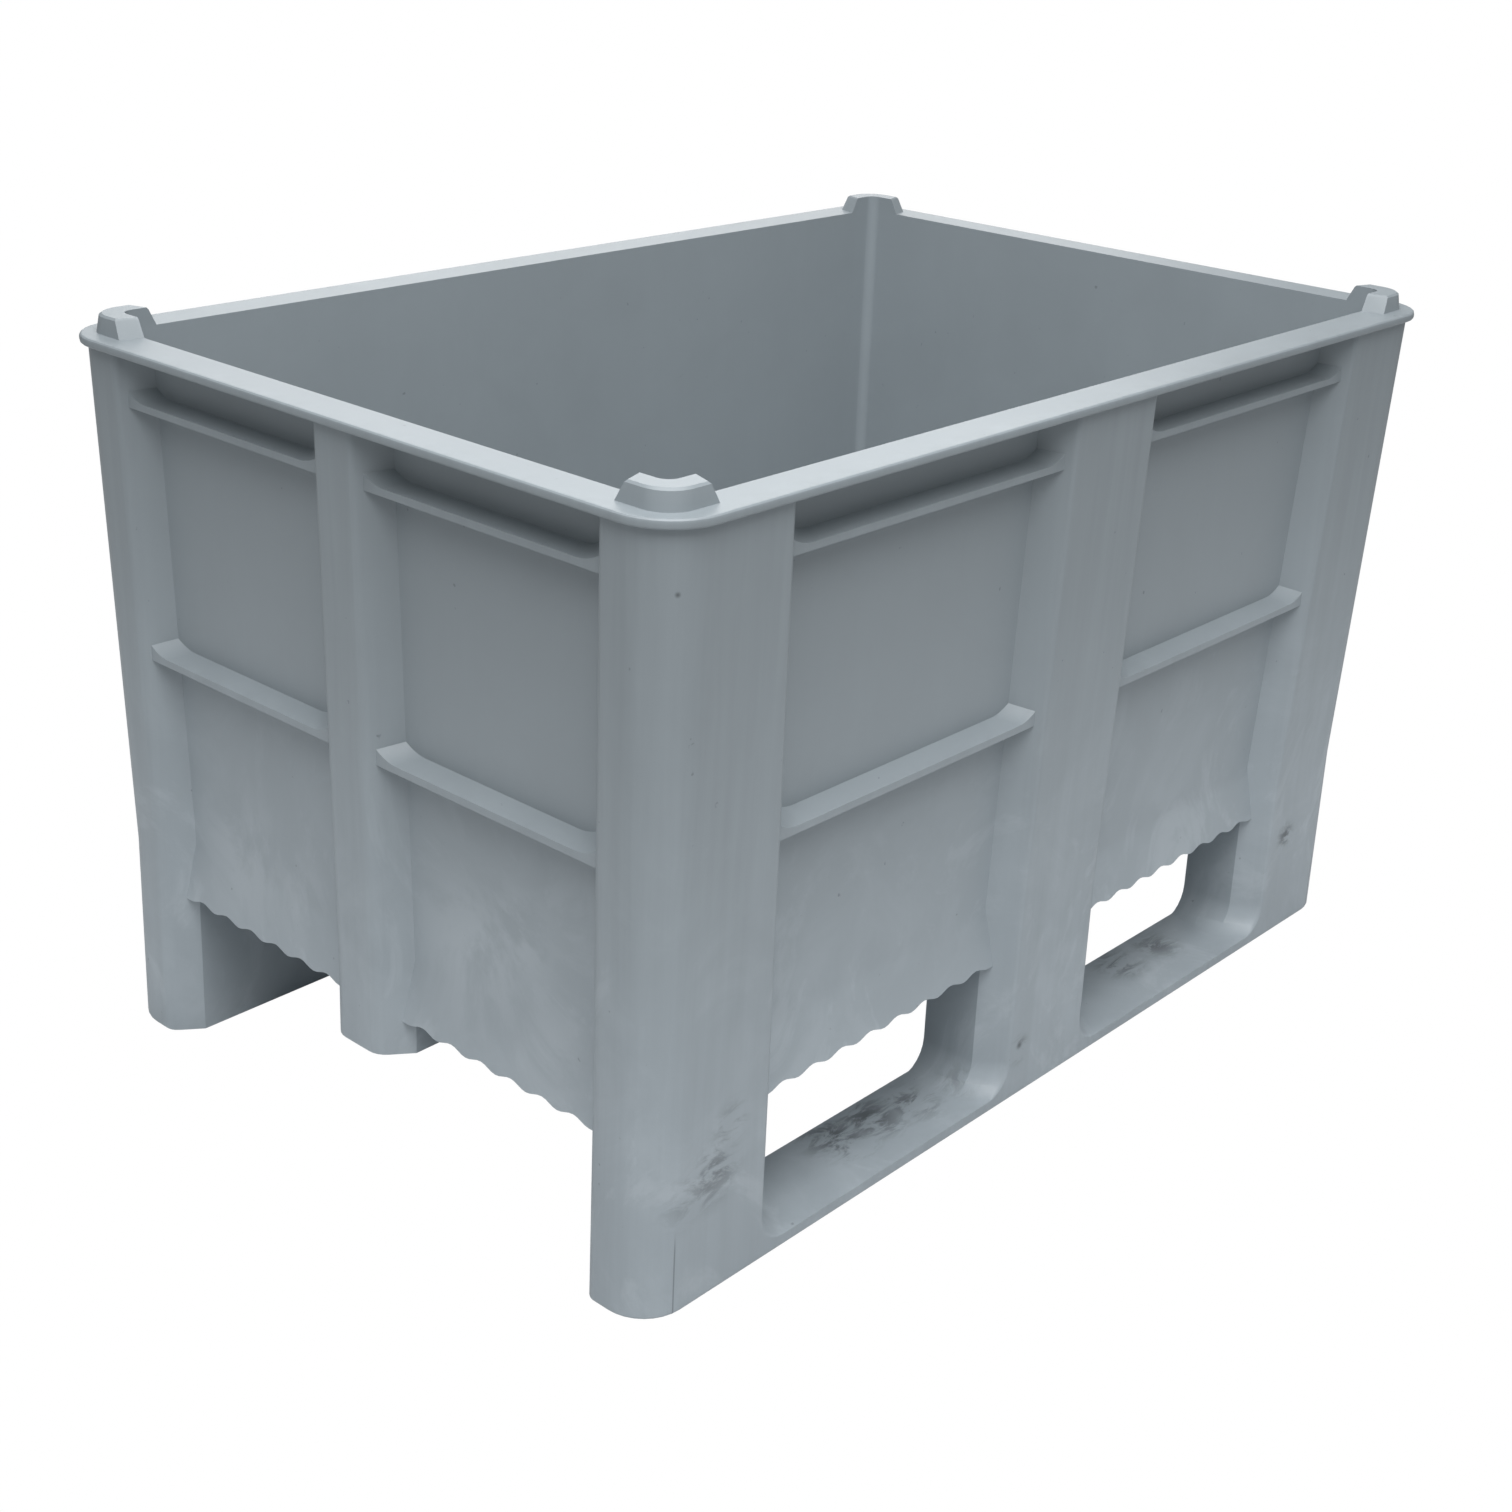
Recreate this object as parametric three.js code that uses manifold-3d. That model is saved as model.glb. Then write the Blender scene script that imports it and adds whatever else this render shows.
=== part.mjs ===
// Pallet box: one moulding with four ribbed walls, a floor and two windowed runners.
// Millimetres, +Z up, X along the long sides. The origin is on the ground, in the middle.

import * as THREE from "three";
import { mergeVertices } from "three/addons/utils/BufferGeometryUtils.js";
import Module from "manifold-3d";

// Overall
const LENGTH = 1200;
const WIDTH = 800;
const RIM_HEIGHT = 722;
const LUG_HEIGHT = 18;

// Rim flange, measured in from the lip
const RIM_WIDTH = 42;
const RIM_CORNER_RADIUS = 54;
const LIP_THICKNESS = 9;
const LIP_OVERHANG = 8;
const LIP_ROUNDING = 3;

// Walls: they lean in from the rim to the knee and stand upright below it
const WALL = 5;
const DRAFT = 15;
const KNEE_HEIGHT = 200;
const INNER_CORNER_RADIUS = 12;
const WITNESS_DROP = 60;
const WITNESS_STEP = 0.8;
const WITNESS_RUN = 4;

// Floor
const FLOOR_UNDERSIDE = 157;
const FLOOR_THICKNESS = 10;
const FLOOR_FILLET = 10;

// Posts, each width taken at the rim and at the foot; corner posts are measured from the lip
const POST_CORNER_RADIUS = 44;
const POST_FLANK_RUN = 22;
const POST_EDGE_RADIUS = 8;
const END_POST_FOOT_EDGE_RADIUS = 22;
const LONG_MIDDLE_POST_TOP = 126;
const LONG_MIDDLE_POST_FOOT = 126;
const LONG_CORNER_POST_TOP = 150;
const LONG_CORNER_POST_FOOT = 170;
const END_MIDDLE_POST_TOP = 48;
const END_MIDDLE_POST_FOOT = 56;
const END_CORNER_POST_TOP = 80;
const END_CORNER_POST_FOOT = 91;

// Runners, their windows and the beam between them
const FOOT_ROUNDING = 3;
const RAIL_HEIGHT = 12;
const RAIL_INNER_HEIGHT = 14;
const WINDOW_FILLET = 32;
const BEAM_UNDERSIDE = 117;
const TUNNEL_FILLET = 12;

// Ribs across the bays
const UPPER_RIB_DROP = 54;
const UPPER_RIB_RISE = 4;
const MIDDLE_RIB_HEIGHT = 416;
const MIDDLE_RIB_RISE = 7;
const RIB_THICKNESS = 7;
const RIB_NOSE_SETBACK = 8;
const RIB_END_RISE = 8;
const RIB_END_RUN = 26;

// Lower band of each panel and its scalloped edge
const BAND_CREASE_HEIGHT = 216;
const BAND_EDGE_HEIGHT = 153;
const BAND_BULGE = 10;
const SCALLOP_PITCH = 42;
const SCALLOP_DEPTH = 2.2;

// Stacking lugs on the rim corners
const LUG_LEG = 82;
const LUG_END_SPLAY = 7;
const LUG_END_SLOPE = 8;
const LUG_FOOT_SETBACK = 19;
const LUG_TOP_WIDTH = 19;
const LUG_CORNER_RADIUS = 27;
const LUG_CREST_ROUNDING = 2;

// Fineness of the curves, and how far a cut reaches past what it removes
const ARC_STEPS = 8;
const EDGE_STEPS = 4;
const WAVE_STEPS = 8;
const SPARE = 30;

const RECESS = RIM_WIDTH - LIP_OVERHANG - WALL;
const LIP_UNDERSIDE = RIM_HEIGHT - LIP_THICKNESS;
const FLOOR_TOP = FLOOR_UNDERSIDE + FLOOR_THICKNESS;

const LONG_SIDE = {
  span: WIDTH,
  middleTop: LONG_MIDDLE_POST_TOP / 2,
  middleFoot: LONG_MIDDLE_POST_FOOT / 2,
  cornerTop: LENGTH / 2 - LONG_CORNER_POST_TOP,
  cornerFoot: LENGTH / 2 - LONG_CORNER_POST_FOOT,
  footEdgeRadius: POST_EDGE_RADIUS,
  turns: [0, Math.PI],
};
const END_SIDE = {
  span: LENGTH,
  middleTop: END_MIDDLE_POST_TOP / 2,
  middleFoot: END_MIDDLE_POST_FOOT / 2,
  cornerTop: WIDTH / 2 - END_CORNER_POST_TOP,
  cornerFoot: WIDTH / 2 - END_CORNER_POST_FOOT,
  footEdgeRadius: END_POST_FOOT_EDGE_RADIUS,
  turns: [Math.PI / 2, -Math.PI / 2],
};
const SIDES = [LONG_SIDE, END_SIDE];

const RUNNER_INNER = END_SIDE.cornerFoot - POST_FLANK_RUN;
const BEAM_HALF = END_SIDE.middleFoot + POST_FLANK_RUN;

const wasm = await Module();
wasm.setup();

// How far the draft has gone at height z, from 0 at the rim to 1 at the knee
function drop(z) {
  return THREE.MathUtils.clamp((RIM_HEIGHT - z) / (RIM_HEIGHT - KNEE_HEIGHT), 0, 1);
}

// Distance of an outer face from the middle of the box
function faceAt(span, z) {
  return span / 2 - LIP_OVERHANG - DRAFT * drop(z);
}

function between(top, foot, z) {
  return THREE.MathUtils.lerp(top, foot, drop(z));
}

// Steps of a quarter round: how far it still stands in, and how far it has risen
function quarterRound(radius, steps) {
  return Array.from({ length: steps + 1 }, (_, i) => {
    const angle = (i / steps) * (Math.PI / 2);
    return { inset: radius * (1 - Math.sin(angle)), rise: radius * (1 - Math.cos(angle)) };
  });
}

function arc(x, y, radius, from, to, steps) {
  return Array.from({ length: steps + 1 }, (_, i) => {
    const angle = THREE.MathUtils.lerp(from, to, i / steps);
    return new THREE.Vector2(x + radius * Math.cos(angle), y + radius * Math.sin(angle));
  });
}

function roundedRing(halfX, halfY, radius) {
  const quarter = Math.PI / 2;
  const corners = [[1, -1], [1, 1], [-1, 1], [-1, -1]];
  return corners.flatMap(([signX, signY], i) => {
    const x = signX * (halfX - radius);
    const y = signY * (halfY - radius);
    return arc(x, y, radius, (i - 1) * quarter, i * quarter, ARC_STEPS);
  });
}

// A closed body through plan rings at rising heights, each ring with the same count of points
function loft(sections) {
  const count = sections[0].ring.length;
  const last = (sections.length - 1) * count;
  const indices = [];
  for (let start = 0; start < last; start += count) {
    for (let i = 0; i < count; i++) {
      const a = start + i;
      const b = start + ((i + 1) % count);
      indices.push(a, b, b + count, a, b + count, a + count);
    }
  }
  for (const [a, b, c] of THREE.ShapeUtils.triangulateShape(sections[0].ring, [])) {
    indices.push(a, c, b);
  }
  for (const [a, b, c] of THREE.ShapeUtils.triangulateShape(sections.at(-1).ring, [])) {
    indices.push(last + a, last + b, last + c);
  }
  const points = sections.flatMap(({ z, ring }) => ring.flatMap((point) => [point.x, point.y, z]));
  const geometry = new THREE.BufferGeometry();
  geometry.setAttribute("position", new THREE.Float32BufferAttribute(points, 3));
  geometry.setIndex(indices);
  return geometry;
}

function bare(geometry) {
  geometry.deleteAttribute("normal");
  geometry.deleteAttribute("uv");
  return mergeVertices(geometry);
}

// A profile given in Y and Z, carried along X
function alongX(profile, from, to) {
  const geometry = new THREE.ExtrudeGeometry(profile, { depth: to - from, bevelEnabled: false });
  const axes = [new THREE.Vector3(0, 1, 0), new THREE.Vector3(0, 0, 1), new THREE.Vector3(1, 0, 0)];
  geometry.translate(0, 0, from);
  geometry.applyMatrix4(new THREE.Matrix4().makeBasis(...axes));
  return bare(geometry);
}

// An outline given in X and Z, carried outwards from y
function outwards(outline, y, depth) {
  const settings = { depth, bevelEnabled: false, curveSegments: 6 };
  const geometry = new THREE.ExtrudeGeometry(outline, settings);
  const axes = [new THREE.Vector3(1, 0, 0), new THREE.Vector3(0, 0, 1), new THREE.Vector3(0, -1, 0)];
  geometry.applyMatrix4(new THREE.Matrix4().makeBasis(...axes));
  geometry.translate(0, y, 0);
  return bare(geometry);
}

function mirrored(geometry) {
  const copy = geometry.clone().scale(-1, 1, 1);
  const index = copy.getIndex();
  for (let i = 0; i < index.count; i += 3) {
    const first = index.getX(i);
    index.setX(i, index.getX(i + 1));
    index.setX(i + 1, first);
  }
  return copy;
}

// The shape and its mirror image, turned to both sides that it serves
function placed(turns, geometry) {
  return turns.flatMap((turn) => {
    return [geometry.clone().rotateZ(turn), mirrored(geometry).rotateZ(turn)];
  });
}

function toSolid(geometry) {
  const vertProperties = new Float32Array(geometry.getAttribute("position").array);
  const triVerts = new Uint32Array(geometry.getIndex().array);
  return new wasm.Manifold(new wasm.Mesh({ numProp: 3, vertProperties, triVerts }));
}

function joined(geometries) {
  return geometries.map(toSolid).reduce((whole, solid) => whole.add(solid));
}

function toGeometry(solid) {
  const { vertProperties, triVerts } = solid.getMesh();
  const geometry = new THREE.BufferGeometry();
  geometry.setAttribute("position", new THREE.BufferAttribute(new Float32Array(vertProperties), 3));
  geometry.setIndex(new THREE.BufferAttribute(new Uint32Array(triVerts), 1));
  geometry.computeVertexNormals();
  return geometry;
}

function outerBody() {
  const foot = quarterRound(FOOT_ROUNDING, 2).map(({ inset, rise }) => ({ z: rise, inset }));
  const levels = [...foot, { z: KNEE_HEIGHT, inset: 0 }, { z: LIP_UNDERSIDE + 1, inset: 0 }];
  return loft(levels.map(({ z, inset }) => {
    const halfX = faceAt(LENGTH, z) - inset;
    const halfY = faceAt(WIDTH, z) - inset;
    return { z, ring: roundedRing(halfX, halfY, POST_CORNER_RADIUS - inset) };
  }));
}

function rimFlange() {
  const lower = quarterRound(LIP_ROUNDING, 3);
  const levels = [
    ...lower.map(({ inset, rise }) => ({ z: LIP_UNDERSIDE + rise, inset })),
    ...lower.map(({ inset, rise }) => ({ z: RIM_HEIGHT - rise, inset })).reverse(),
  ];
  return loft(levels.map(({ z, inset }) => {
    return { z, ring: roundedRing(LENGTH / 2 - inset, WIDTH / 2 - inset, RIM_CORNER_RADIUS - inset) };
  }));
}

// Plan of a lug, with the sharp corner of the lip at the origin; its ends are cut aslant
function lugRing(setback, leg) {
  const inner = RIM_WIDTH + 1;
  const outerLeg = leg - LUG_END_SPLAY;
  const outerCentre = -setback - LUG_CORNER_RADIUS;
  const innerCentre = -inner - INNER_CORNER_RADIUS;
  return [
    new THREE.Vector2(-setback, -outerLeg),
    ...arc(outerCentre, outerCentre, LUG_CORNER_RADIUS, 0, Math.PI / 2, ARC_STEPS),
    new THREE.Vector2(-outerLeg, -setback),
    new THREE.Vector2(-leg, -inner),
    ...arc(innerCentre, innerCentre, INNER_CORNER_RADIUS, Math.PI / 2, 0, ARC_STEPS),
    new THREE.Vector2(-inner, -leg),
  ];
}

function lugs() {
  const crest = RIM_HEIGHT + LUG_HEIGHT;
  const topSetback = RIM_WIDTH - LUG_TOP_WIDTH;
  const topLeg = LUG_LEG - LUG_END_SLOPE;
  const sections = [
    { z: RIM_HEIGHT - 1, ring: lugRing(LUG_FOOT_SETBACK, LUG_LEG) },
    { z: RIM_HEIGHT, ring: lugRing(LUG_FOOT_SETBACK, LUG_LEG) },
    { z: crest - LUG_CREST_ROUNDING, ring: lugRing(topSetback - LUG_CREST_ROUNDING, topLeg) },
    { z: crest, ring: lugRing(topSetback, topLeg - LUG_CREST_ROUNDING) },
  ];
  return placed([0, Math.PI], loft(sections).translate(LENGTH / 2, WIDTH / 2, 0));
}

// The inside, with the fillet round the floor and the fine step below the rim
function inside() {
  const witness = RIM_HEIGHT - WITNESS_DROP;
  const levels = [
    ...quarterRound(FLOOR_FILLET, 4).map(({ inset, rise }) => {
      return { z: FLOOR_TOP + rise, inset: inset + WITNESS_STEP };
    }),
    { z: KNEE_HEIGHT, inset: WITNESS_STEP },
    { z: witness - WITNESS_RUN, inset: WITNESS_STEP },
    { z: witness, inset: 0 },
    { z: RIM_HEIGHT, inset: 0 },
    { z: RIM_HEIGHT + LUG_HEIGHT + SPARE, inset: 0 },
  ];
  return loft(levels.map(({ z, inset }) => {
    const halfX = faceAt(LENGTH, z) - RECESS - WALL - inset;
    const halfY = faceAt(WIDTH, z) - RECESS - WALL - inset;
    return { z, ring: roundedRing(halfX, halfY, INNER_CORNER_RADIUS) };
  }));
}

// Plan of the bay between two posts, on the side that faces -Y, reaching back to the panel
function bayRing(side, z, inset = 0, back = null) {
  const face = faceAt(side.span, z);
  const low = between(side.middleTop, side.middleFoot, z) + inset;
  const high = between(side.cornerTop, side.cornerFoot, z) - inset;
  const radius = between(POST_EDGE_RADIUS, side.footEdgeRadius, z);
  const turn = Math.atan2(RECESS, POST_FLANK_RUN);
  const edge = high + radius * Math.tan(turn / 2);
  const start = -Math.PI / 2;
  const flank = [
    new THREE.Vector2(edge, -face - SPARE),
    ...arc(edge, radius - face, radius, start, start - turn, EDGE_STEPS),
    new THREE.Vector2(high - POST_FLANK_RUN, RECESS - face),
  ];
  if (back !== null) {
    flank.push(new THREE.Vector2(high - POST_FLANK_RUN, -back));
  }
  const opposite = flank.map((point) => new THREE.Vector2(low + high - point.x, point.y));
  return [...flank, ...opposite.reverse()];
}

function bays(side) {
  const bottom = side === LONG_SIDE ? RAIL_HEIGHT + WINDOW_FILLET : -SPARE;
  const heights = [bottom, KNEE_HEIGHT, LIP_UNDERSIDE];
  return placed(side.turns, loft(heights.map((z) => ({ z, ring: bayRing(side, z) }))));
}

function windows() {
  const back = RUNNER_INNER - TUNNEL_FILLET - 1;
  const sections = quarterRound(WINDOW_FILLET, 6).map(({ inset, rise }) => {
    const z = RAIL_HEIGHT + rise;
    return { z, ring: bayRing(LONG_SIDE, z, inset, back) };
  });
  sections.push({ z: FLOOR_UNDERSIDE, ring: bayRing(LONG_SIDE, FLOOR_UNDERSIDE, 0, back) });
  return placed(LONG_SIDE.turns, loft(sections));
}

// The open space under the floor, with the shallow beam left along its middle
function tunnel() {
  const profile = new THREE.Shape();
  profile.moveTo(-RUNNER_INNER, -SPARE);
  profile.lineTo(RUNNER_INNER, -SPARE);
  const wall = RUNNER_INNER - TUNNEL_FILLET;
  const round = arc(wall, FLOOR_UNDERSIDE - TUNNEL_FILLET, TUNNEL_FILLET, 0, Math.PI / 2, 5);
  const half = [
    ...round.map((point) => [point.x, point.y]),
    [BEAM_HALF, FLOOR_UNDERSIDE],
    [BEAM_HALF, BEAM_UNDERSIDE],
  ];
  const opposite = half.map(([y, z]) => [-y, z]).reverse();
  for (const [y, z] of [...half, ...opposite]) {
    profile.lineTo(y, z);
  }
  return alongX(profile, -LENGTH, LENGTH);
}

function bands(side) {
  const panel = (z) => RECESS - faceAt(side.span, z);
  const bottom = BAND_EDGE_HEIGHT - SCALLOP_DEPTH;
  const profile = new THREE.Shape();
  profile.moveTo(panel(bottom) - BAND_BULGE, bottom);
  profile.lineTo(panel(bottom) + WALL - 1, bottom);
  profile.lineTo(panel(BAND_CREASE_HEIGHT) + WALL - 1, BAND_CREASE_HEIGHT);
  profile.lineTo(panel(BAND_CREASE_HEIGHT) + 0.5, BAND_CREASE_HEIGHT);
  return placed(side.turns, alongX(profile, side.middleFoot, side.cornerFoot));
}

// What is taken off the bottom of a band to leave its waved edge
function scallops(side) {
  const start = side.middleFoot + POST_FLANK_RUN;
  const length = side.cornerFoot - POST_FLANK_RUN - start;
  const waves = Math.round(length / SCALLOP_PITCH);
  const steps = waves * WAVE_STEPS;
  const bottom = BAND_EDGE_HEIGHT - 2 * SCALLOP_DEPTH;
  const outline = new THREE.Shape();
  outline.moveTo(start, bottom);
  outline.lineTo(start + length, bottom);
  for (let i = steps; i >= 0; i--) {
    const wave = SCALLOP_DEPTH * Math.cos((2 * Math.PI * waves * i) / steps);
    outline.lineTo(start + (length * i) / steps, BAND_EDGE_HEIGHT - wave);
  }
  const panel = RECESS - faceAt(side.span, 0);
  return placed(side.turns, outwards(outline, panel + WALL, WALL + BAND_BULGE + 1));
}

// A shelf across the bay: its top falls towards its nose and sweeps up at both posts
function ribs(side, height, rise) {
  const face = faceAt(side.span, height);
  const flank = POST_FLANK_RUN / RECESS;
  const low = between(side.middleTop, side.middleFoot, height) + flank * RIB_NOSE_SETBACK;
  const high = between(side.cornerTop, side.cornerFoot, height) - flank * RIB_NOSE_SETBACK;
  const bottom = height - RIB_THICKNESS;
  const crest = height + RIB_END_RISE;
  const bend = RIB_END_RUN / 2;
  const outline = new THREE.Shape();
  outline.moveTo(low - SPARE, bottom);
  outline.lineTo(high + SPARE, bottom);
  outline.lineTo(high + SPARE, crest);
  outline.lineTo(high, crest);
  outline.quadraticCurveTo(high - bend, height, high - RIB_END_RUN, height);
  outline.lineTo(low + RIB_END_RUN, height);
  outline.quadraticCurveTo(low + bend, height, low, crest);
  outline.lineTo(low - SPARE, crest);
  const reach = RECESS + 1 - RIB_NOSE_SETBACK;
  const geometry = outwards(outline, RECESS + 1 - face, reach);
  const position = geometry.getAttribute("position");
  const middle = (low + high) / 2;
  for (let i = 0; i < position.count; i++) {
    const depth = position.getY(i) + face - RIB_NOSE_SETBACK;
    if (position.getZ(i) > bottom + RIB_THICKNESS / 2) {
      position.setZ(i, position.getZ(i) + (rise * depth) / reach);
    }
    const inwards = Math.sign(middle - position.getX(i));
    position.setX(i, position.getX(i) + inwards * flank * depth);
  }
  return placed(side.turns, geometry);
}

// The top of a rail between the feet, dished up towards its inner edge
function railRamps() {
  const face = faceAt(WIDTH, 0);
  const profile = new THREE.Shape();
  profile.moveTo(-RUNNER_INNER, FOOT_ROUNDING);
  profile.lineTo(-RUNNER_INNER, RAIL_INNER_HEIGHT);
  profile.quadraticCurveTo(-RUNNER_INNER - WALL, RAIL_HEIGHT, -face + LIP_OVERHANG, RAIL_HEIGHT - 0.5);
  profile.lineTo(-face + LIP_OVERHANG, FOOT_ROUNDING);
  const ramp = alongX(profile, -LONG_SIDE.cornerFoot, LONG_SIDE.cornerFoot);
  return LONG_SIDE.turns.map((turn) => ramp.clone().rotateZ(turn));
}

function palletBox() {
  const additions = [
    rimFlange(),
    ...lugs(),
    ...SIDES.flatMap((side) => bands(side)),
    ...SIDES.flatMap((side) => ribs(side, RIM_HEIGHT - UPPER_RIB_DROP, UPPER_RIB_RISE)),
    ...SIDES.flatMap((side) => ribs(side, MIDDLE_RIB_HEIGHT, MIDDLE_RIB_RISE)),
    ...railRamps(),
  ];
  const cuts = [...SIDES.flatMap((side) => bays(side)), ...windows(), tunnel()];
  const shell = toSolid(outerBody()).subtract(joined(cuts)).add(joined(additions));
  return shell.subtract(joined([inside(), ...SIDES.flatMap((side) => scallops(side))]));
}

const plastic = new THREE.MeshStandardMaterial({ color: 0x8e989e, roughness: 0.55, metalness: 0 });
const mesh = new THREE.Mesh(toGeometry(palletBox()), plastic);
mesh.name = "pallet_box";

const group = new THREE.Group();
group.add(mesh);

export default group;
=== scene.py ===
import math

import bmesh
import bpy
from bpy.props import BoolProperty, FloatProperty, FloatVectorProperty, IntProperty, PointerProperty
from mathutils import Matrix, Vector


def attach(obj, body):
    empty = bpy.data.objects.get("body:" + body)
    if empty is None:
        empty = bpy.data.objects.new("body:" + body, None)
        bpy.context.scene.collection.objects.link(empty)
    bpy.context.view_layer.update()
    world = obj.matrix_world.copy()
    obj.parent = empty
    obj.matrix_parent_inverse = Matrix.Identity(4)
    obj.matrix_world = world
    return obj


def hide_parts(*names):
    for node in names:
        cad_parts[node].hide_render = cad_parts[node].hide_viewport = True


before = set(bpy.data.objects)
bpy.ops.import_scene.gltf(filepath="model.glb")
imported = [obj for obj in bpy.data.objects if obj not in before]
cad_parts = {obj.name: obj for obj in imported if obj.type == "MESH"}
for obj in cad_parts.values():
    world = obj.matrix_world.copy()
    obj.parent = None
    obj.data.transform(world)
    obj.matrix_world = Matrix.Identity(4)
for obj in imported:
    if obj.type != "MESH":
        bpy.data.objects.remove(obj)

bl_info = {
    "name": "Pallet box",
    "version": (1, 0, 0),
    "blender": (4, 5, 0),
    "location": "3D View > Sidebar > Pallet box",
    "description": "A moulded pallet box and a plain studio to show it in",
    "category": "Add Mesh",
}


# ---- settings

class ShellSettings(bpy.types.PropertyGroup):
    """How the moulding's edges are rounded."""

    flat_angle: FloatProperty(
        name="Flat angle", description="Faces that meet below this angle become one",
        default=math.radians(0.4), subtype="ANGLE")
    edge_angle: FloatProperty(
        name="Edge angle", description="Edges sharper than this are rounded",
        default=math.radians(28.0), subtype="ANGLE")
    edge_round: FloatProperty(
        name="Edge rounding", description="How far the rounding reaches from an edge",
        default=0.0022, unit="LENGTH")
    edge_segments: IntProperty(
        name="Segments", description="Faces across one rounded edge", default=3)


class PlasticSettings(bpy.types.PropertyGroup):
    """The moulded plastic, what use has left on it, and painted light lightening its colour."""

    tint: FloatVectorProperty(
        name="Tint", description="Colour of clean plastic", default=(0.246, 0.278, 0.298),
        size=3, subtype="COLOR")
    # Lighter colour for real bleaching low down, which also stands in for painted light: bounce light
    # near the ground, top light on the rim and lugs, light inside
    bleached_and_lit_tint: FloatVectorProperty(
        name="Bleached and lit tint", description="Lighter colour for bleaching and for painted light",
        default=(0.372, 0.420, 0.455), size=3, subtype="COLOR")
    chalk: FloatVectorProperty(
        name="Rubbed tint", description="Colour of the pale rubbed patches",
        default=(0.490, 0.540, 0.575), size=3, subtype="COLOR")
    grime: FloatVectorProperty(
        name="Grime", description="Colour of the smudges", default=(0.050, 0.055, 0.060),
        size=3, subtype="COLOR")
    roughness: FloatProperty(
        name="Roughness", description="Roughness of clean plastic", default=0.42,
        subtype="FACTOR")
    # Partly real bleaching and partly painted bounce light from the floor: the outside turns lighter
    # towards the ground
    fade_and_bounce_light: FloatProperty(
        name="Fading and bounce light", description="How far the outside is lightened near the ground, by bleaching and painted bounce light", default=0.92,
        subtype="FACTOR")
    # Painted highlight: the tops of the rim and the lugs are lightened as if lit from above
    rim_painted_highlight: FloatProperty(
        name="Rim painted highlight", description="How strongly the rim and the lugs are lightened as painted top light", default=0.15,
        subtype="FACTOR")
    # Painted light: the inside is lightened where the lamps leave it too dark
    inside_painted_light: FloatProperty(
        name="Inside painted light", description="How strongly the inside is lightened as painted light", default=0.22,
        subtype="FACTOR")
    mottle: FloatProperty(
        name="Mottle", description="How much the tint varies over the walls", default=0.10,
        subtype="FACTOR")
    streaks: FloatProperty(
        name="Streaks", description="Strength of the upright streaks on the posts", default=0.10,
        subtype="FACTOR")
    rubbing: FloatProperty(
        name="Rubbing", description="Strength of the pale rubbed patches low down", default=0.45,
        subtype="FACTOR")
    smudges: FloatProperty(
        name="Smudges", description="Strength of the dark smudges", default=0.75, subtype="FACTOR")
    grain: FloatProperty(
        name="Grain", description="Depth of the fine surface texture", default=0.00006, unit="LENGTH")
    waviness: FloatProperty(
        name="Waviness", description="Depth of the slow waves in the walls", default=0.0009,
        unit="LENGTH")


class StudioSettings(bpy.types.PropertyGroup):
    """Camera, floor and lights."""

    camera_place: FloatVectorProperty(
        name="Camera place", description="Where the camera stands",
        default=(-1.71921, -1.46591, 1.22249), size=3, subtype="TRANSLATION", unit="LENGTH")
    azimuth: FloatProperty(
        name="Azimuth", description="Heading of the camera round the box",
        default=math.radians(-48.86974), subtype="ANGLE")
    elevation: FloatProperty(
        name="Elevation", description="How far the camera looks down",
        default=math.radians(19.84473), subtype="ANGLE")
    roll: FloatProperty(
        name="Roll", description="Turn of the camera about its own axis",
        default=math.radians(2.53786), subtype="ANGLE")
    focal_length: FloatProperty(
        name="Focal length", description="Lens, for a sensor 36 mm wide", default=53.7707)
    shift: FloatVectorProperty(
        name="Shift", description="Lens shift, in widths of the picture",
        default=(-0.0013975, -0.0982520), size=2)
    floor_size: FloatProperty(
        name="Floor", description="Width of the floor", default=14.0, unit="LENGTH")
    floor_tint: FloatVectorProperty(
        name="Floor tint", description="Colour of the floor as the box sees it",
        default=(0.62, 0.63, 0.64), size=3, subtype="COLOR")
    sky_tint: FloatVectorProperty(
        name="Sky tint", description="Colour of the light from all round",
        default=(0.94, 0.975, 1.0), size=3, subtype="COLOR")
    sky_strength: FloatProperty(
        name="Sky", description="Strength of the light from all round", default=0.28)
    key_power: FloatProperty(
        name="Overhead light", description="Power of the soft light above the box", default=145.0,
        unit="POWER")
    key_size: FloatProperty(
        name="Overhead size", description="Width of the soft light above the box", default=3.0,
        unit="LENGTH")
    key_place: FloatVectorProperty(
        name="Overhead place", description="Where the soft light above hangs",
        default=(-1.0, -1.0, 3.3), size=3, subtype="TRANSLATION", unit="LENGTH")
    fill_power: FloatProperty(
        name="Fill light", description="Power of the soft light behind the box", default=50.0,
        unit="POWER")
    fill_size: FloatProperty(
        name="Fill size", description="Width of the soft light behind the box", default=3.0,
        unit="LENGTH")
    fill_place: FloatVectorProperty(
        name="Fill place", description="Where the soft light behind hangs",
        default=(2.2, 2.4, 2.4), size=3, subtype="TRANSLATION", unit="LENGTH")


class PalletBoxSettings(bpy.types.PropertyGroup):
    """Everything that can be set."""

    shell: PointerProperty(type=ShellSettings)
    plastic: PointerProperty(type=PlasticSettings)
    studio: PointerProperty(type=StudioSettings)


# ---- where things are on the box, in metres

INNER_HALF_LENGTH = 0.5455
INNER_HALF_WIDTH = 0.3455
KNEE_HEIGHT = 0.2
WALL_LEAN = 0.0287
PANEL_OUT = 0.012
POST_OUT = 0.028
FLOOR_LOW, FLOOR_HIGH = 0.158, 0.165
RIM_LOW, RIM_HIGH = 0.717, 0.7215
MOULD_LINE_X = 0.5415
MOULD_LINE_HALF_WIDTH = 0.0011
MOULD_LINE_TOP = 0.085

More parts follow.
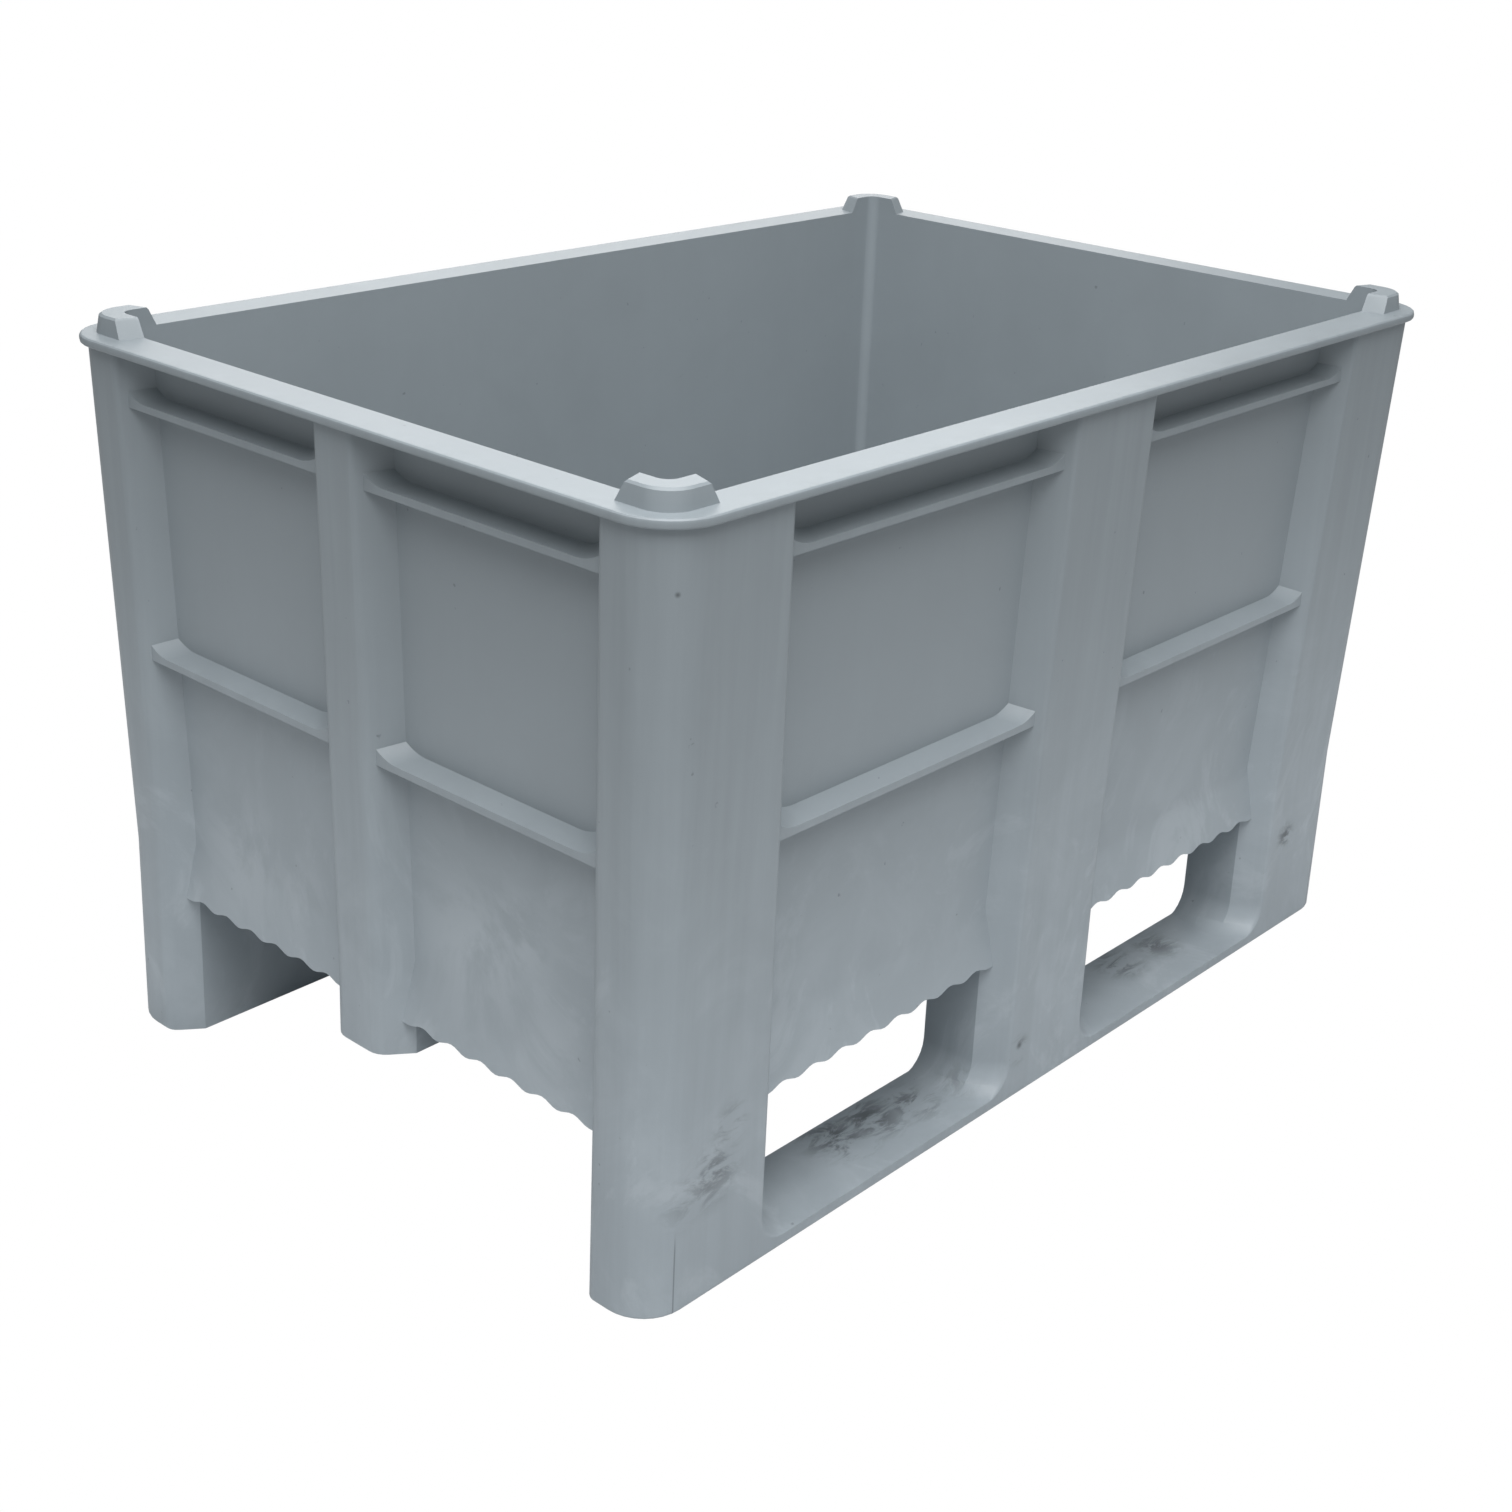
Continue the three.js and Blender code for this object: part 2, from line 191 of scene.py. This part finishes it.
# Pale rubbed patches: place, radius and strength
RUBBED_SPOTS = (
    ((-0.552, -0.130, 0.245), 0.120, 0.60),
    ((-0.552, -0.190, 0.290), 0.080, 0.45),
    ((-0.552, -0.230, 0.195), 0.080, 0.525),
    ((-0.552, 0.205, 0.225), 0.110, 0.5625),
    ((-0.552, 0.120, 0.215), 0.080, 0.4875),
)

# Dark smudges on the feet and the rail tops: place, radius and strength
SMUDGES = (
    ((-0.498, -0.377, 0.120), 0.048, 0.75),
    ((-0.478, -0.377, 0.158), 0.036, 0.50),
    ((-0.530, -0.377, 0.110), 0.040, 0.35),
    ((-0.048, -0.377, 0.053), 0.022, 1.00),
    ((0.465, -0.377, 0.121), 0.024, 1.00),
    ((-0.250, -0.312, 0.012), 0.055, 1.00),
    ((-0.200, -0.312, 0.012), 0.055, 1.00),
    ((-0.150, -0.325, 0.012), 0.045, 0.90),
    ((-0.090, -0.338, 0.012), 0.035, 0.50),
    ((0.240, -0.310, 0.012), 0.045, 0.80),
    ((0.310, -0.315, 0.012), 0.040, 0.80),
)

# Single dark specks: place and radius
SPECKS = (
    ((-0.5704, -0.3833, 0.660), 0.0035),
    ((-0.047, -0.377, 0.058), 0.0070),
    ((0.466, -0.377, 0.124), 0.0080),
)


# ---- materials

class Socket:
    """An output of a node tree. Arithmetic on it adds the nodes that work it out."""

    def __init__(self, tree, output):
        self.tree = tree
        self.output = output

    def make(self, kind, inputs, output=0, **settings):
        """Adds any other node; inputs are named or numbered and take sockets or plain values."""
        node = self.tree.nodes.new(kind)
        for name, value in settings.items():
            setattr(node, name, value)
        for name, value in inputs.items():
            if isinstance(value, Socket):
                self.tree.links.new(value.output, node.inputs[name])
            else:
                node.inputs[name].default_value = value
        return Socket(self.tree, node.outputs[output])

    def math(self, operation, *values):
        return self.make("ShaderNodeMath", dict(enumerate(values)), operation=operation)

    def __add__(self, other):
        return self.math("ADD", self, other)

    def __radd__(self, other):
        return self.math("ADD", other, self)

    def __sub__(self, other):
        return self.math("SUBTRACT", self, other)

    def __rsub__(self, other):
        return self.math("SUBTRACT", other, self)

    def __mul__(self, other):
        return self.math("MULTIPLY", self, other)

    def __rmul__(self, other):
        return self.math("MULTIPLY", other, self)

    def __abs__(self):
        return self.math("ABSOLUTE", self)

    def at_least(self, other):
        return self.math("MAXIMUM", self, other)

    def ramp(self, start, end):
        """Goes softly from 0 to 1 while this goes from start to end."""
        inputs = {"Value": self, "From Min": start, "From Max": end}
        return self.make("ShaderNodeMapRange", inputs, interpolation_type="SMOOTHSTEP")

    def blend(self, first, second):
        """Goes from the first colour to the second while this goes from 0 to 1."""
        return self.make("ShaderNodeMix", {0: self, 6: first, 7: second}, 2, data_type="RGBA")

    def noise(self, scale, detail, roughness, distortion=0.0):
        """Noise at the point that this vector gives."""
        inputs = {"Vector": self, "Scale": scale, "Detail": detail, "Roughness": roughness,
                  "Distortion": distortion}
        return self.make("ShaderNodeTexNoise", inputs)

    def stretched(self, x, y, z):
        """This vector with each of its parts scaled."""
        inputs = {0: self, 1: (x, y, z)}
        return self.make("ShaderNodeVectorMath", inputs, operation="MULTIPLY")

    def near(self, spot, radius):
        """1 at the spot and 0 from the radius outwards."""
        inputs = {0: self, 1: spot}
        away = self.make("ShaderNodeVectorMath", inputs, 1, operation="DISTANCE")
        return away.ramp(radius, 0.0)


def colour(values):
    return (*values, 1.0)


def new_material(name):
    """A material with nothing in it but its output."""
    material = bpy.data.materials.new(name)
    material.use_nodes = True
    tree = material.node_tree
    tree.nodes.clear()
    return material, tree, tree.nodes.new("ShaderNodeOutputMaterial")


def rubbed_patches(place, low, patches, strength):
    """Swept pale marks low on the panels, and the larger rubbed spots."""
    swept = place.stretched(1.0, 1.0, 0.75).noise(5.5, 7.0, 0.66, 2.6)
    sweeps = swept.ramp(0.50, 0.66) * low * strength
    rubbed = sweeps.at_least(patches.ramp(0.42, 0.72) * low * (strength * 0.55))
    for spot, radius, amount in RUBBED_SPOTS:
        ragged = swept.ramp(0.36, 0.60) * place.near(spot, radius)
        rubbed = rubbed.at_least(ragged * amount)
    return rubbed


def dark_smudges(place, strength):
    """Strokes on the rail tops, marks on the feet, and specks."""
    strokes = place.stretched(28.0, 75.0, 60.0).noise(1.0, 6.0, 0.68, 0.6).ramp(0.44, 0.60)
    dirt = place.noise(95.0, 2.0, 0.5).ramp(0.745, 0.80) * 0.5
    for spot, radius, amount in SMUDGES:
        dirt = dirt.at_least(place.near(spot, radius) * strokes * amount)
    for spot, radius in SPECKS:
        dirt = dirt.at_least(place.near(spot, radius))
    return dirt * strength


def mould_line(x, y, z):
    """The fine line that the mould has left beside each corner of the feet."""
    across = abs(abs(x) - MOULD_LINE_X).ramp(MOULD_LINE_HALF_WIDTH, 0.0004)
    return across * z.ramp(MOULD_LINE_TOP, 0.060) * abs(y).ramp(0.3735, 0.3750)


def plastic_material(settings):
    """Satin moulded plastic, pale where it is rubbed and dark where it is smudged, with painted light
    lightening it low down outside, on the rim and lug tops, and inside.
    """
    material, tree, output = new_material("moulded_plastic")
    place = Socket(tree, tree.nodes.new("ShaderNodeTexCoord").outputs["Object"])
    x, y, z = (place.make("ShaderNodeSeparateXYZ", {0: place}, part) for part in range(3))

    clouds = place.noise(2.6, 5.0, 0.55, 0.4)
    patches = place.noise(9.0, 6.0, 0.62, 0.8)
    upright = place.stretched(30.0, 30.0, 1.3).noise(1.0, 5.0, 0.6)
    fine_upright = place.stretched(110.0, 110.0, 4.0).noise(1.0, 3.0, 0.6)

    # How far out from the inner walls, which lean like the outer faces above the knee
    lean = (z - KNEE_HEIGHT).at_least(0.0) * WALL_LEAN
    out = (abs(x) - lean - INNER_HALF_LENGTH).at_least(abs(y) - lean - INNER_HALF_WIDTH)
    inside = out.ramp(0.001, -0.001) * z.ramp(FLOOR_LOW, FLOOR_HIGH)
    outside = 1.0 - inside
    posts = out.ramp(PANEL_OUT, POST_OUT)

    # Lighter towards the ground outside: partly bleaching, partly painted bounce light from the floor
    fade_and_painted_light = (z + (clouds - 0.5) * 0.30).ramp(0.68, 0.04) * outside * settings.fade_and_bounce_light
    # Painted highlight on the rim and lug tops
    fade_and_painted_light = fade_and_painted_light.at_least(z.ramp(RIM_LOW, RIM_HIGH) * settings.rim_painted_highlight)
    # Painted light lifting the inside
    fade_and_painted_light = fade_and_painted_light.at_least(inside * settings.inside_painted_light)
    rubbed = rubbed_patches(place, z.ramp(0.50, 0.10) * outside, patches, settings.rubbing)
    dirt = dark_smudges(place, settings.smudges)

    streaks = (upright - 0.5) + (fine_upright - 0.5) * 0.6
    shade = (clouds - 0.5) * settings.mottle + (patches - 0.5) * (settings.mottle * 0.5)
    shade = shade + streaks * (0.12 + posts * 0.88) * settings.streaks
    faded_and_lit = fade_and_painted_light.blend(colour(settings.tint), colour(settings.bleached_and_lit_tint))
    inputs = {0: rubbed.blend(faded_and_lit, colour(settings.chalk)), "Scale": shade * 2.0 + 1.0}
    tint = place.make("ShaderNodeVectorMath", inputs, operation="SCALE")
    lined = (mould_line(x, y, z) * 0.45).blend(tint, colour(settings.grime))

    waves = {"Height": place.noise(4.2, 2.0, 0.45), "Strength": 1.0, "Distance": settings.waviness}
    grain = {"Height": place.noise(900.0, 2.0, 0.5), "Strength": 1.0, "Distance": settings.grain,
             "Normal": place.make("ShaderNodeBump", waves)}
    shader = place.make("ShaderNodeBsdfPrincipled", {
        "Base Color": dirt.blend(lined, colour(settings.grime)),
        "Roughness": settings.roughness + (patches - 0.5) * 0.10 + rubbed * 0.16 + dirt * 0.12,
        "Normal": place.make("ShaderNodeBump", grain),
        "IOR": 1.49,
        "Specular IOR Level": 0.5,
    })
    tree.links.new(shader.output, output.inputs["Surface"])
    return material


def floor_material(settings):
    """Plain pale floor that the camera sees as white."""
    material, tree, output = new_material("studio_floor")
    path = Socket(tree, tree.nodes.new("ShaderNodeLightPath").outputs["Is Camera Ray"])
    plain = path.make("ShaderNodeBsdfDiffuse", {"Color": colour(settings.floor_tint)})
    white = path.make("ShaderNodeEmission", {"Color": (1.0, 1.0, 1.0, 1.0), "Strength": 1.0})
    shader = path.make("ShaderNodeMixShader", {0: path, 1: plain, 2: white})
    tree.links.new(shader.output, output.inputs["Surface"])
    return material


def studio_world(settings):
    """Even light from all round, with white behind the box."""
    world = bpy.data.worlds.new("studio")
    world.use_nodes = True
    tree = world.node_tree
    tree.nodes.clear()
    path = Socket(tree, tree.nodes.new("ShaderNodeLightPath").outputs["Is Camera Ray"])
    sky = path.make("ShaderNodeBackground", {
        "Color": colour(settings.sky_tint), "Strength": settings.sky_strength})
    white = path.make("ShaderNodeBackground", {"Color": (1.0, 1.0, 1.0, 1.0), "Strength": 1.0})
    shader = path.make("ShaderNodeMixShader", {0: path, 1: sky, 2: white})
    output = tree.nodes.new("ShaderNodeOutputWorld")
    tree.links.new(shader.output, output.inputs["Surface"])
    return world


# ---- pieces

SAME_PLACE = 0.00001
FLOOR_GAP = 0.0005
LIGHT_TARGET = (0.0, 0.0, 0.4)


def add_object(name, data):
    made = bpy.data.objects.new(name, data)
    bpy.context.scene.collection.objects.link(made)
    return made


def build_shell(settings):
    """The moulding, as model.glb gives it, with flat faces joined and edges rounded."""
    work = bmesh.new()
    work.from_mesh(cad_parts["pallet_box"].data)
    bmesh.ops.remove_doubles(work, verts=work.verts, dist=SAME_PLACE)
    bmesh.ops.dissolve_limit(
        work, angle_limit=settings.flat_angle, use_dissolve_boundaries=False,
        verts=work.verts, edges=work.edges, delimit=set())
    bmesh.ops.recalc_face_normals(work, faces=work.faces)
    for face in work.faces:
        face.smooth = True
    mesh = bpy.data.meshes.new("pallet_box_shell")
    work.to_mesh(mesh)
    work.free()
    shell = add_object("pallet_box_shell", mesh)
    rounding = shell.modifiers.new("rounded edges", "BEVEL")
    rounding.limit_method = "ANGLE"
    rounding.angle_limit = settings.edge_angle
    rounding.width = settings.edge_round
    rounding.segments = settings.edge_segments
    rounding.miter_outer = "MITER_ARC"
    weights = shell.modifiers.new("weighted normals", "WEIGHTED_NORMAL")
    weights.mode = "FACE_AREA"
    weights.weight = 60
    return shell


class MESH_OT_pallet_box_shell(bpy.types.Operator):
    """Adds the pallet box itself."""

    bl_idname = "mesh.pallet_box_shell"
    bl_label = "Add pallet box"

    def execute(self, context):
        settings = context.scene.pallet_box
        shell = build_shell(settings.shell)
        shell.data.materials.clear()
        shell.data.materials.append(plastic_material(settings.plastic))
        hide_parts("pallet_box")
        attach(shell, "root")
        return {"FINISHED"}


def look_axes(settings):
    """Right, up and forward of the camera."""
    a, e, r = settings.azimuth, settings.elevation, settings.roll
    forward = -Vector((math.sin(a) * math.cos(e), -math.cos(a) * math.cos(e), math.sin(e)))
    right = forward.cross(Vector((0.0, 0.0, 1.0))).normalized()
    up = right.cross(forward)
    return right * math.cos(r) + up * math.sin(r), up * math.cos(r) - right * math.sin(r), forward


def add_camera(settings):
    data = bpy.data.cameras.new("view")
    data.sensor_width = 36.0
    data.lens = settings.focal_length
    data.shift_x, data.shift_y = settings.shift
    data.clip_start = 0.05
    data.clip_end = 60.0
    camera = add_object("view", data)
    right, up, forward = look_axes(settings)
    turn = Matrix((right, up, -forward)).transposed().to_4x4()
    camera.matrix_world = Matrix.Translation(Vector(settings.camera_place)) @ turn
    bpy.context.scene.camera = camera


def add_floor(settings):
    work = bmesh.new()
    bmesh.ops.create_grid(
        work, x_segments=1, y_segments=1, size=settings.floor_size / 2,
        matrix=Matrix.Translation((0.0, 0.0, -FLOOR_GAP)))
    mesh = bpy.data.meshes.new("floor")
    work.to_mesh(mesh)
    work.free()
    mesh.materials.append(floor_material(settings))
    return add_object("floor", mesh)


def add_soft_light(name, power, size, place):
    data = bpy.data.lights.new(name, "AREA")
    data.shape = "SQUARE"
    data.size = size
    data.energy = power
    light = add_object(name, data)
    place = Vector(place)
    aim = Vector(LIGHT_TARGET) - place
    light.location = place
    light.rotation_mode = "QUATERNION"
    light.rotation_quaternion = aim.to_track_quat("-Z", "Y")


class SCENE_OT_pallet_box_studio(bpy.types.Operator):
    """Adds the floor, the lights and the camera."""

    bl_idname = "scene.pallet_box_studio"
    bl_label = "Add studio"

    def execute(self, context):
        settings = context.scene.pallet_box.studio
        add_floor(settings)
        add_soft_light("overhead", settings.key_power, settings.key_size, settings.key_place)
        add_soft_light("fill", settings.fill_power, settings.fill_size, settings.fill_place)
        add_camera(settings)
        context.scene.world = studio_world(settings)
        context.scene.view_settings.view_transform = "Standard"
        return {"FINISHED"}


class VIEW3D_PT_pallet_box(bpy.types.Panel):
    """Buttons and settings in the sidebar."""

    bl_label = "Pallet box"
    bl_space_type = "VIEW_3D"
    bl_region_type = "UI"
    bl_category = "Pallet box"

    def draw(self, context):
        settings = context.scene.pallet_box
        for group, action in (
                (settings.shell, MESH_OT_pallet_box_shell),
                (settings.plastic, None),
                (settings.studio, SCENE_OT_pallet_box_studio)):
            box = self.layout.box()
            for name in group.__annotations__:
                box.prop(group, name)
            if action:
                box.operator(action.bl_idname)


CLASSES = (
    ShellSettings,
    PlasticSettings,
    StudioSettings,
    PalletBoxSettings,
    MESH_OT_pallet_box_shell,
    SCENE_OT_pallet_box_studio,
    VIEW3D_PT_pallet_box,
)


def register():
    for entry in CLASSES:
        bpy.utils.register_class(entry)
    bpy.types.Scene.pallet_box = PointerProperty(type=PalletBoxSettings)


def unregister():
    del bpy.types.Scene.pallet_box
    for entry in reversed(CLASSES):
        bpy.utils.unregister_class(entry)


def main():
    register()
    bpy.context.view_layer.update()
    bpy.ops.mesh.pallet_box_shell()
    bpy.ops.scene.pallet_box_studio()


if __name__ == "__main__":
    main()
